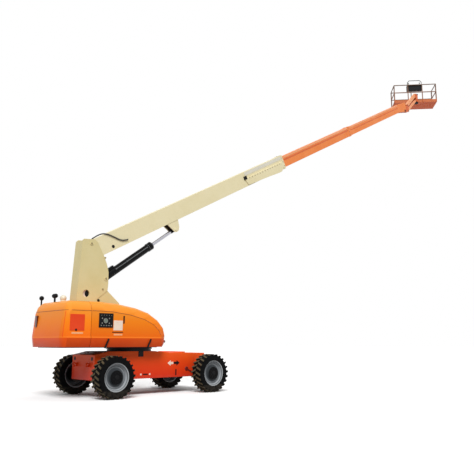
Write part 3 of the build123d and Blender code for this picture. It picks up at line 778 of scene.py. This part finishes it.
@dataclass
class Hoods:
    """The moulded hoods, their panels, seams and top fittings."""

    side_y: float = -0.926
    panel: tuple[tuple[float, float], tuple[float, float]] = ((-2.255, 1.656), (-1.87, 2.046))
    panel_catch: tuple[float, float, float] = (-2.09, 1.672, 0.028)
    knob_at: tuple[float, float] = (-0.715, 1.4)
    latch: tuple[tuple[float, float], tuple[float, float]] = ((-0.786, 1.849), (-0.746, 2.04))
    pull: tuple[tuple[float, float], tuple[float, float]] = ((-1.099, 1.615), (-0.783, 1.634))
    bead_radius: float = 0.006
    rear_crease: tuple[Point, ...] = (
        (-2.35, 0.0, 2.143), (-2.35, 0.7, 2.143), (-2.325, 0.849, 2.143), (-2.292, 0.887, 2.143),
        (-2.2, 0.926, 2.143), (-1.7, 0.926, 2.143))
    front_crease: tuple[Point, ...] = (
        (-1.67, 0.926, 2.143), (-1.4, 0.926, 2.143), (-1.126, 0.926, 2.138), (-0.571, 0.926, 2.072),
        (-0.142, 0.926, 1.97), (0.15, 0.926, 1.84), (0.33, 0.926, 1.69), (0.392, 0.926, 1.56))
    corner_seam: tuple[Point, ...] = ((-2.392, 0.849, 1.5), (-2.334, 0.849, 2.116))
    gauge_shift: tuple[float, float] = (-0.02, -0.01)
    gauge_radius: float = 0.062
    glass_radius: float = 0.05
    dial_off: tuple[float, float] = (0.1, 0.06)
    dial_radius: float = 0.017
    switches: int = 5
    switch_inset: tuple[float, float] = (0.06, 0.05)

    def build(self) -> None:
        """Dresses the hoods and adds what is on them."""
        for node in ("tail_hood", "hood_left", "hood_right"):
            eased(node, HOOD, 5, sharp=46, least=50, crowned=True)
        for node, finish in (("straps_left", BLACK), ("straps_right", BLACK), ("rear_lamp", LENS),
                             ("counterweight", CAST), ("engine_block", CAST), ("hydraulic_tank", CAST),
                             ("turntable_deck", BLACK)):
            dress(node, finish)
        eased("horn_set", PLASTIC, 0)
        eased("beacon", DOME, 0)
        self.access_panel()
        self.nose_knob()
        self.ground_controls()
        self.labels()
        for side in Side:
            self.latches(side)
            self.beading(side)

    def access_panel(self) -> None:
        """Adds the red access panel on the tail, with its finger hole."""
        y = self.side_y
        bm = bmesh.new()
        add_patch(bm, *self.panel, y, 0.006, 0.002, 4)
        settle(bm, "access_panel", "turntable", PANEL_RED)
        bm = bmesh.new()
        x, z, radius = self.panel_catch
        add_stud(bm, (x, z), y - 0.004, y - 0.01, radius)
        settle(bm, "access_panel_catch", "turntable", PLASTIC)

    def nose_knob(self) -> None:
        """Adds the red pull knob low on the right hood's nose: its stem, then its flared head."""
        bm = bmesh.new()
        add_rod(bm, (0.585, *self.knob_at), (0.645, *self.knob_at), 0.016)
        add_rod(bm, (0.635, *self.knob_at), (0.675, *self.knob_at), 0.03, 0.036, edge_mm=8)
        settle(bm, "hood_pull_knob", "hood_right", KNOB)

    def ground_controls(self) -> None:
        """Adds the gauge, its four dials and two rows of switches on the ground control panel."""
        low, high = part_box("ground_panel")
        eased("ground_panel", PLASTIC, 6)
        face = low.y
        x = (low.x + high.x) / 2 + self.gauge_shift[0]
        z = (low.z + high.z) / 2 + self.gauge_shift[1]
        dx, dz = self.dial_off
        bm = bmesh.new()
        add_stud(bm, (x, z), face + 0.004, face - 0.014, self.gauge_radius, edge_mm=5)
        for at in ((x - dx, z + dz), (x + dx, z + dz), (x - dx, z - dz), (x + dx, z - dz)):
            add_stud(bm, at, face + 0.002, face - 0.014, self.dial_radius)
        side, rim = self.switch_inset
        for i in range(self.switches):
            row_x = low.x + side + i * (high.x - low.x - 2 * side) / (self.switches - 1)
            add_stud(bm, (row_x, high.z - rim), face + 0.002, face - 0.02, 0.012, 0.008)
            add_stud(bm, (row_x, low.z + rim), face + 0.002, face - 0.016, 0.015, edge_mm=3)
        settle(bm, "ground_panel_switches", "hood_right", STEEL)
        bm = bmesh.new()
        add_stud(bm, (x, z), face - 0.012, face - 0.017, self.glass_radius, edge_mm=1)
        settle(bm, "ground_panel_gauge", "hood_right", GAUGE)

    def labels(self) -> None:
        """Adds the blank films on the tail and the hood."""
        for name, body, film, low, high in (
                ("label_hood", "hood_right", LABEL, (-1.064, 1.672), (-0.8, 1.92)),
                ("label_tail", "turntable", FADED_LABEL, (-2.2, 1.575), (-1.9, 1.615)),
                ("label_hood_low", "hood_right", FADED_LABEL, (-1.05, 1.545), (-0.8, 1.585))):
            bm = bmesh.new()
            add_patch(bm, low, high, self.side_y, 0.003, 0.001, 1)
            settle(bm, name, body, film)

    def latches(self, side: Side) -> None:
        """Adds one hood's latch slot and pull handle.

        Args:
            side: Side of the machine.
        """
        y = -side.value * self.side_y
        name = side.name.lower()
        bm = bmesh.new()
        add_patch(bm, *self.latch, y, 0.008, radius_mm=6)
        add_patch(bm, *self.pull, y, 0.006, radius_mm=3)
        settle(bm, f"hood_latch_{name}", f"hood_{name}", PLASTIC)

    def beading(self, side: Side) -> None:
        """Adds the beads in the creases of one side.

        Args:
            side: Side of the machine.
        """
        name = side.name.lower()
        for part, body, route, finish in (("tail", "turntable", self.rear_crease, BEAD),
                                          ("hood", f"hood_{name}", self.front_crease, BEAD),
                                          ("corner", "turntable", self.corner_seam, PANEL_RED)):
            bm = bmesh.new()
            points = [(x, side.value * y, z) for x, y, z in route]
            for a, b in zip(points, points[1:]):
                add_rod(bm, a, b, self.bead_radius, segments=8, edge_mm=0.5)
            settle(bm, f"crease_bead_{part}_{name}", body, finish)


@dataclass
class Tower:
    """The pivot tower, the heads of its pins, and its holes: black discs in them are painted shade, with
    pale blanks behind.
    """

    face_y: float = 0.188
    bolts: tuple[tuple[float, float], ...] = ((-0.963, 3.615), (-1.0, 2.766))
    bolt_radius: float = 0.017
    keeper_radius: float = 0.03
    keeper_thick: float = 0.006
    keeper_bolt_radius: float = 0.012
    hole_at: tuple[float, float] = (-1.477, 2.627)
    blank_radius: float = 0.11155
    blank_y: tuple[float, float] = (0.126, 0.144)
    shade_shift: float = 0.078
    shade_radius: float = 0.098
    shade_y: tuple[float, float] = (0.142, 0.152)
    # Dark holes low on the gusset, drawn as black discs of painted shade.
    gusset_hole: tuple[float, float] = (-1.108, 2.462)
    gusset_hole_radius: float = 0.034
    gusset_hole_y: tuple[float, float] = (0.174, 0.196)

    def build(self) -> None:
        """Dresses the tower and adds its pins' heads, its holes' blanks, and black discs in its holes as
        painted shade.
        """
        eased("tower", TOWER, 5)
        self.pin_keepers()
        x, z = self.hole_at
        self.caps("tower_hole_blanks", LABEL, (x, z), self.blank_y, self.blank_radius)
        # Black caps, set off to one side, paint the shade in the holes; the pale blanks show beside them as
        # a light crescent.
        self.caps("tower_hole_caps", PLASTIC, (x + self.shade_shift, z), self.shade_y, self.shade_radius)
        # Black discs where the gusset has dark holes: painted shade.
        self.caps("gusset_pin_caps", PLASTIC, self.gusset_hole, self.gusset_hole_y, self.gusset_hole_radius, 3)

    def pin_keepers(self) -> None:
        """Adds the plate bolts, and the keepers on the pins of the boom and the cylinder."""
        bm = bmesh.new()
        for side in Side:
            out = (0, side.value, 0)
            for x, z in self.bolts:
                add_bolt(bm, (x, side.value * (self.face_y + 0.008), z), out, self.bolt_radius)
            for joint, reach in (("boom_lift", 0.012), ("lift_barrel_tilt", 0.014)):
                at = joint_place(joint)
                y = side.value * (self.face_y + reach)
                top = y + side.value * self.keeper_thick
                add_stud(bm, (at.x, at.z), y, top, self.keeper_radius)
                add_bolt(bm, (at.x, top, at.z), out, self.keeper_bolt_radius)
        settle(bm, "tower_pin_keepers", "turntable", PAINTED_BOLT)

    def caps(self, name: str, finish: Finish, at: tuple[float, float], reach: tuple[float, float],
             radius: float, edge_mm: float = 2.0) -> None:
        """Adds a pair of round caps, one on each side plate.

        Args:
            name: The piece's name.
            finish: Its surface.
            at: X and Z of the caps' middle.
            reach: Distance of a cap's inner and outer face from the middle plane.
            radius: Radius of a cap.
            edge_mm: Size of the rounding at its edge.
        """
        bm = bmesh.new()
        for side in Side:
            add_stud(bm, at, side.value * reach[0], side.value * reach[1], radius, edge_mm=edge_mm)
        settle(bm, name, "turntable", finish)


@dataclass(frozen=True)
class Stripe:
    """A strip along both sides of a boom section, in the boom's own frame."""

    name: str
    body: str
    finish: Finish
    run: tuple[float, float]
    face_y: float
    height: tuple[float, float]


@dataclass
class Boom:
    """The three boom sections, the hose at the rear, and the lift cylinder.

    Places are in the boom's own frame: along it from its pivot, across it and square to it. Places on the
    cylinder are distances from its lower pin.
    """

    hose_route: tuple[Point, ...] = (
        (0.12, -0.07, 0.098), (0.33, -0.11, 0.14), (0.52, -0.158, 0.096), (0.7, -0.16, -0.06),
        (0.86, -0.16, -0.23), (0.99, -0.16, -0.3), (1.116, -0.16, -0.316))
    hose_size: float = 0.034
    hose_length: float = 1.15
    side_hole: tuple[float, float] = (0.6, -0.323)
    side_hole_y: tuple[float, float] = (0.139, 0.143)
    side_hole_radius: float = 0.047
    pad_bolt_radius: float = 0.011
    pad_bolt_rows: tuple[float, ...] = (-0.15, 0.0, 0.15)
    pad_bolt_off: float = 0.07
    gland: tuple[float, float] = (1.74, 1.904)
    gland_radii: tuple[float, float] = (0.119, 0.0525)
    # The gland's grey rings and the oil line beside the barrel are painted highlights.
    gland_highlight_rings: tuple[float, float] = (1.75, 1.882)
    highlight_ring_radii: tuple[float, float] = (0.1225, 0.112)
    highlight_ring_half: float = 0.006
    line_run: tuple[float, float] = (0.46, 1.68)
    line_off: float = 0.117
    line_drop: float = 0.35
    line_radius: float = 0.011
    clamp_half: float = 0.02
    clamp_step: float = 0.42
    clamp_radius: float = 0.018
    eye: tuple[float, float] = (2.837, -0.665)
    eye_block: tuple[Point, Point] = ((-0.15, -0.057, -0.052), (0.0, 0.057, 0.052))
    eye_cheek_y: tuple[float, float] = (0.046, 0.0575)
    eye_radius: float = 0.0595
    lug: tuple[tuple[float, float], ...] = (
        (2.625, -0.43), (3.03, -0.43), (2.975, -0.64), (2.925, -0.715), (2.845, -0.735), (2.775, -0.715),
        (2.745, -0.65))
    # Dark liners in the lug's gap: painted shade.
    lug_shade_y: tuple[float, float] = (0.093, 0.0995)
    stripe_thick: float = 0.003
    port: tuple[Point, Point] = ((6.35, -0.172, -0.19), (6.49, -0.139, -0.07))
    saddle_bolts: int = 13
    saddle_run: tuple[float, float] = (6.62, 8.36)
    saddle_at: tuple[float, float] = (0.164, -0.185)
    saddle_bolt_radius: float = 0.012
    nose: tuple[float, float] = (18.726, -0.409)
    nose_cap_y: tuple[float, float] = (0.105, 0.126)
    nose_cap_radius: float = 0.048
    # The darker mid stripes are painted shadow under the paler top strips.
    stripes: tuple[Stripe, ...] = (
        Stripe("base_band", "base_boom", PALE, (6.45, 8.55), 0.1405, (-0.06, 0.06)),
        Stripe("mid_stripe_top", "mid_boom", PALE_ORANGE, (8.7, 13.36), 0.1255, (-0.05, 0.018)),
        Stripe("mid_stripe_mid", "mid_boom", DEEP_ORANGE, (8.7, 13.36), 0.1255, (-0.14, -0.085)),
        Stripe("fly_stripe_top", "fly_boom", PALE_ORANGE, (13.6, 18.1), 0.1095, (-0.055, -0.003)),
        Stripe("fly_stripe_mid", "fly_boom", DEEP_ORANGE, (13.6, 18.1), 0.1095, (-0.165, -0.13)))
    frame: Matrix = field(default_factory=boom_frame)

    def build(self) -> None:
        """Dresses the sections and adds their fittings."""
        for node, finish, radius_mm, least in (
                ("base_boom", BASE, 5, 40), ("mid_boom", ORANGE, 5, 40), ("fly_boom", ORANGE, 5, 40),
                ("lift_barrel", BARREL, 4, 50), ("lift_rod", CHROME, 3, 60)):
            eased(node, finish, radius_mm, least=least)
        self.hose()
        self.pin_pair("base_side_holes", "base_boom", PLASTIC, self.side_hole, self.side_hole_y,
                      self.side_hole_radius, 2)
        self.wear_pads("base", 8.605, 0.15, -0.173, 0.259)
        self.wear_pads("mid", 13.445, 0.134, -0.179, 0.214)
        self.gland_nut()
        self.rod_eye()
        self.lug_liners()
        self.highlight_line_and_rings()
        for stripe in self.stripes:
            self.lay_stripe(stripe)
        self.side_port()
        self.saddle_row()
        self.pin_pair("nose_pin_caps", "fly_boom", BLACK, self.nose, self.nose_cap_y,
                      self.nose_cap_radius, 5)

    def at(self, s: float, y: float, n: float) -> Point:
        """Turns a point of the boom's frame to the row frame."""
        return tuple(self.frame @ Vector((s, y, n)))

    def way(self, y: float, n: float) -> Point:
        """Turns a direction across the boom to the row frame."""
        return tuple(self.frame.to_3x3() @ Vector((0, y, n)))

    def hose(self) -> None:
        """Lays the hydraulic hose from the boom's top round to its side."""
        curve = bpy.data.curves.new("boom_hose_run", "CURVE")
        curve.dimensions = "3D"
        spline = curve.splines.new("NURBS")
        spline.points.add(len(self.hose_route) - 1)
        for point, at in zip(spline.points, self.hose_route):
            point.co = (*self.at(*at), 1.0)
        spline.order_u = 3
        spline.use_endpoint_u = True
        curve.bevel_depth = self.hose_size / 2
        curve.bevel_resolution = 5
        curve.use_fill_caps = True
        curve.materials.append(HOSE.material())
        made = bpy.data.objects.new("boom_hose_run", curve)
        bpy.context.scene.collection.objects.link(made)
        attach(made, "base_boom")
        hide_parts("boom_hose")

    def pin_pair(self, name: str, body: str, finish: Finish, at: tuple[float, float],
                 reach: tuple[float, float], radius: float, edge_mm: float) -> None:
        """Adds a pair of round heads, one on each side of a section.

        Args:
            name: The piece's name.
            body: CAD body that carries it.
            finish: Its surface.
            at: Place along the boom and square to it.
            reach: Distance of a head's inner and outer face from the middle plane.
            radius: Radius of a head.
            edge_mm: Size of the rounding at its edge.
        """
        s, n = at
        bm = bmesh.new()
        for side in Side:
            foot, head = (self.at(s, side.value * y, n) for y in reach)
            add_rod(bm, foot, head, radius, edge_mm=edge_mm)
        settle(bm, name, body, finish)

    def wear_pads(self, name: str, end: float, half_w: float, mid_n: float, half_h: float) -> None:
        """Adds the bolts of the wear pads at a section's front end.

        Args:
            name: The section's name.
            end: Place of the bolts along the boom.
            half_w: Half the collar's width.
            mid_n: Middle of its height.
            half_h: Half its height.
        """
        bm = bmesh.new()
        for side in Side:
            for n in self.pad_bolt_rows:
                head = self.at(end, side.value * half_w, mid_n + n)
                add_bolt(bm, head, self.way(side.value, 0), self.pad_bolt_radius)
        for up in (-1, 1):
            for y in (-self.pad_bolt_off, self.pad_bolt_off):
                add_bolt(bm, self.at(end, y, mid_n + up * half_h), self.way(0, up), self.pad_bolt_radius)
        settle(bm, f"wear_pad_bolts_{name}", f"{name}_boom", STEEL)

    def gland_nut(self) -> None:
        """Adds the gland nut at the barrel's mouth."""
        foot = joint_place("lift_barrel_tilt")
        along = joint_axis("lift_rod_slide")
        bm = bmesh.new()
        start, end = (tuple(foot + along * s) for s in self.gland)
        add_ring(bm, start, end, *self.gland_radii, 8)
        settle(bm, "cylinder_gland", "lift_barrel", BARREL)

    def rod_eye(self) -> None:
        """Adds the dark casting round the rod's eye: a block and two cheeks."""
        along = joint_axis("lift_rod_slide")
        eye = self.frame @ Vector((self.eye[0], 0.0, self.eye[1]))
        turn = Matrix.Translation(eye) @ Matrix.Rotation(-math.atan2(along.z, along.x), 4, "Y")
        bm = bmesh.new()
        add_box(bm, *self.eye_block, turn, radius_mm=8)
        for side in Side:
            start, end = (tuple(turn @ Vector((0.0, side.value * y, 0.0))) for y in self.eye_cheek_y)
            add_rod(bm, start, end, self.eye_radius, edge_mm=3)
        settle(bm, "rod_eye_casting", "lift_rod", BLACK)

    def lug_liners(self) -> None:
        """Adds dark liners on the inner faces of the base section's lug: painted shade in the gap between
        its plates.
        """
        inner, outer = self.lug_shade_y
        corners = [self.at(s, 0.0, n) for s, n in self.lug]
        bm = bmesh.new()
        for side in Side:
            add_plate(bm, [(x, z) for x, _, z in corners], side.value * inner, side.value * outer)
        settle(bm, "lug_liners", "base_boom", LUG_SHADE)

    def highlight_line_and_rings(self) -> None:
        """Adds the oil line along the barrel's near side, with its clamps, and the rings on the gland: grey
        pieces that are painted highlights on the cylinder.
        """
        foot = joint_place("lift_barrel_tilt")
        along = joint_axis("lift_rod_slide")
        aside = along.cross(Vector((0.0, 1.0, 0.0))) * self.line_drop
        beside = foot + (Vector((0.0, -1.0, 0.0)) + aside).normalized() * self.line_off
        start, end = self.line_run
        rows = [(start, end, self.line_radius)]
        for s in (start, start + self.clamp_step, end - self.clamp_step, end):
            rows.append((s - self.clamp_half, s + self.clamp_half, self.clamp_radius))
        bm = bmesh.new()
        for s0, s1, radius in rows:
            add_rod(bm, tuple(beside + along * s0), tuple(beside + along * s1), radius, segments=16)
        for s in self.gland_highlight_rings:
            low, high = (tuple(foot + along * (s + step)) for step in (-self.highlight_ring_half, self.highlight_ring_half))
            add_ring(bm, low, high, *self.highlight_ring_radii)
        settle(bm, "cylinder_oil_line", "lift_barrel", HIGHLIGHT_LINE)

    def lay_stripe(self, stripe: Stripe) -> None:
        """Lays a slider's stripe on both sides of its section.

        Args:
            stripe: The stripe.
        """
        (s0, s1), (n0, n1) = stripe.run, stripe.height
        bm = bmesh.new()
        for side in Side:
            faces = (stripe.face_y, stripe.face_y + self.stripe_thick)
            low, high = sorted(side.value * y for y in faces)
            add_box(bm, (s0, low, n0), (s1, high, n1), self.frame, radius_mm=1)
        settle(bm, stripe.name, stripe.body, stripe.finish)

    def side_port(self) -> None:
        """Adds the black port on the base section's near side."""
        bm = bmesh.new()
        add_box(bm, *self.port, self.frame, radius_mm=4)
        settle(bm, "base_port", "base_boom", PLASTIC)

    def saddle_row(self) -> None:
        """Adds the row of bolts along the base section's front plate, on both sides."""
        first, last = self.saddle_run
        y, n = self.saddle_at
        bm = bmesh.new()
        for side in Side:
            for i in range(self.saddle_bolts):
                s = first + i * (last - first) / (self.saddle_bolts - 1)
                head = self.at(s, side.value * y, n)
                add_bolt(bm, head, self.way(side.value, 0), self.saddle_bolt_radius)
        settle(bm, "saddle_bolts", "base_boom", PAINTED_BOLT)


@dataclass
class Jib:
    """The jib's head, arms and the basket's support."""

    pin_half: float = 0.084
    pin_radius: float = 0.02

    def build(self) -> None:
        """Dresses the jib and adds the heads of its pins."""
        # The head and the support take the darker orange as painted shade between the arms; the arms and
        # the link take the lighter orange as painted highlight.
        for node, finish in (("jib_head", DEEP_ORANGE), ("jib_arm", PALE_ORANGE), ("jib_link", PALE_ORANGE),
                             ("platform_support", DEEP_ORANGE), ("basket_rotator", PLASTIC)):
            eased(node, finish, 5)
        bm = bmesh.new()
        for name in ("jib_lift", "jib_link_swing"):
            at = joint_place(name)
            for side in Side:
                add_bolt(bm, (at.x, side.value * self.pin_half, at.z), (0, side.value, 0), self.pin_radius)
        settle(bm, "jib_pin_heads", "jib_head", STEEL)


@dataclass
class Basket:
    """The work basket: rails, floor and console, with the console's levers in the basket's own frame."""

    console_x: float = 0.225
    console_top: float = 0.985
    lever_y: float = 0.28
    switches: int = 7
    switch_step: float = 0.06
    frame: Matrix = field(default_factory=basket_frame)

    def build(self) -> None:
        """Dresses the basket and adds its controls."""
        for node in ("rail_near", "rail_far", "rail_end", "basket_gate"):
            eased(node, RAIL, 0)
        eased("basket_floor", FLOOR, 2)
        eased("platform_console", PLASTIC, 6)
        self.controls()

    def at(self, x: float, y: float, z: float) -> Point:
        """Turns a point, measured from the console's top edge, to the row frame."""
        return tuple(self.frame @ Vector((self.console_x + x, y, self.console_top + z)))

    def controls(self) -> None:
        """Adds the console's two levers with their grips, and a row of switches."""
        bm = bmesh.new()
        for y in (-self.lever_y, self.lever_y):
            add_rod(bm, self.at(0.11, y, -0.004), self.at(0.12, y, 0.12), 0.012, edge_mm=3)
            add_rod(bm, self.at(0.12, y, 0.1), self.at(0.122, y, 0.17), 0.024, 0.028, edge_mm=8)
        for i in range(self.switches):
            y = (i - (self.switches - 1) / 2) * self.switch_step
            add_rod(bm, self.at(0.15, y, -0.002), self.at(0.155, y, 0.025), 0.009, 0.006)
        settle(bm, "console_levers", "basket", STEEL)


@dataclass(frozen=True)
class Lamp:
    """A broad sun: its strength, and its tilt, turn and spread in degrees."""

    name: str
    energy: float
    tilt: float
    turn: float
    spread: float


@dataclass
class Studio:
    """Pale floor, soft light, and a camera at the photograph's angle."""

    place: Point = (-8.636, -13.656, 1.361)
    pitch_up: float = 0.185
    yaw: float = 0.749
    focal_px: float = 565.65
    picture_px: float = 474.0
    sensor_mm: float = 36.0
    far_clip: float = 400.0
    floor_size: float = 160.0
    floor_white: float = 1.06
    floor_bounce: float = 0.45
    sky: float = 0.36
    lamps: tuple[Lamp, ...] = (Lamp("key", 2.75, 44.0, -38.0, 25.0), Lamp("fill", 0.3, 30.0, 60.0, 60.0))

    def build(self) -> None:
        """Makes the floor, the light and the camera."""
        self.camera()
        self.lights()
        self.floor()
        bpy.context.scene.view_settings.view_transform = "Standard"

    def camera(self) -> None:
        """Sets the camera."""
        data = bpy.data.cameras.new("camera")
        data.sensor_width = self.sensor_mm
        data.lens = self.focal_px * self.sensor_mm / self.picture_px
        data.clip_end = self.far_clip
        made = bpy.data.objects.new("camera", data)
        made.location = self.place
        made.rotation_euler = (math.pi / 2 + self.pitch_up, 0.0, -self.yaw)
        bpy.context.scene.collection.objects.link(made)
        bpy.context.scene.camera = made

    def seen_rays(self, tree: bpy.types.NodeTree) -> bpy.types.NodeSocket:
        """Marks the rays that see the white background: the camera's, and those off metal or through glass.

        Args:
            tree: Nodes of the floor or the sky.

        Returns:
            A socket that is 1 for those rays and 0 for the rest.
        """
        rays = add_node(tree, "ShaderNodeLightPath").outputs
        seen = rays["Is Camera Ray"]
        for more in ("Is Glossy Ray", "Is Transmission Ray"):
            both = {0: seen, 1: rays[more]}
            seen = add_node(tree, "ShaderNodeMath", both, operation="MAXIMUM").outputs[0]
        return seen

    def lights(self) -> None:
        """Sets a soft sky and two broad suns: the key from behind the camera, a weak fill from its left."""
        world = bpy.data.worlds.new("studio")
        bpy.context.scene.world = world
        world.use_nodes = True
        tree = world.node_tree
        tree.nodes.clear()
        seen = self.seen_rays(tree)
        strength = add_node(tree, "ShaderNodeMapRange", {0: seen, 3: self.sky, 4: 1.0}).outputs[0]
        sky = add_node(tree, "ShaderNodeBackground", {"Color": (1.0, 1.0, 1.0, 1.0), "Strength": strength})
        add_node(tree, "ShaderNodeOutputWorld", {0: sky.outputs[0]})
        for lamp in self.lamps:
            data = bpy.data.lights.new(lamp.name, "SUN")
            data.energy = lamp.energy
            data.angle = math.radians(lamp.spread)
            made = bpy.data.objects.new(lamp.name, data)
            made.rotation_euler = (math.radians(lamp.tilt), 0.0, math.radians(lamp.turn))
            bpy.context.scene.collection.objects.link(made)

    def floor(self) -> None:
        """Lays the floor, which goes white at its own level so that only shadow shows on it."""
        bm = bmesh.new()
        bmesh.ops.create_grid(bm, x_segments=1, y_segments=1, size=self.floor_size)
        mesh = bpy.data.meshes.new("floor")
        bm.to_mesh(mesh)
        bm.free()
        finish = bpy.data.materials.new("pale_floor")
        finish.use_nodes = True
        tree = finish.node_tree
        tree.nodes.clear()
        ends = {0: self.seen_rays(tree), 3: self.floor_bounce, 4: self.floor_white}
        level = add_node(tree, "ShaderNodeMapRange", ends).outputs[0]
        grey = add_node(tree, "ShaderNodeCombineColor", {0: level, 1: level, 2: level}).outputs[0]
        matt = add_node(tree, "ShaderNodeBsdfDiffuse", {"Color": grey})
        add_node(tree, "ShaderNodeOutputMaterial", {0: matt.outputs[0]})
        mesh.materials.append(finish)
        made = bpy.data.objects.new("floor", mesh)
        bpy.context.scene.collection.objects.link(made)


def main() -> None:
    """Builds each sub-assembly in order."""
    logging.basicConfig(level=logging.INFO, format="%(name)s %(message)s")
    for part in (Studio(), Boom(), Chassis(), RunningGear(), Hoods(), Tower(), Jib(), Basket()):
        part.build()
        LOG.info("%s built", type(part).__name__)


if __name__ == "__main__":
    main()
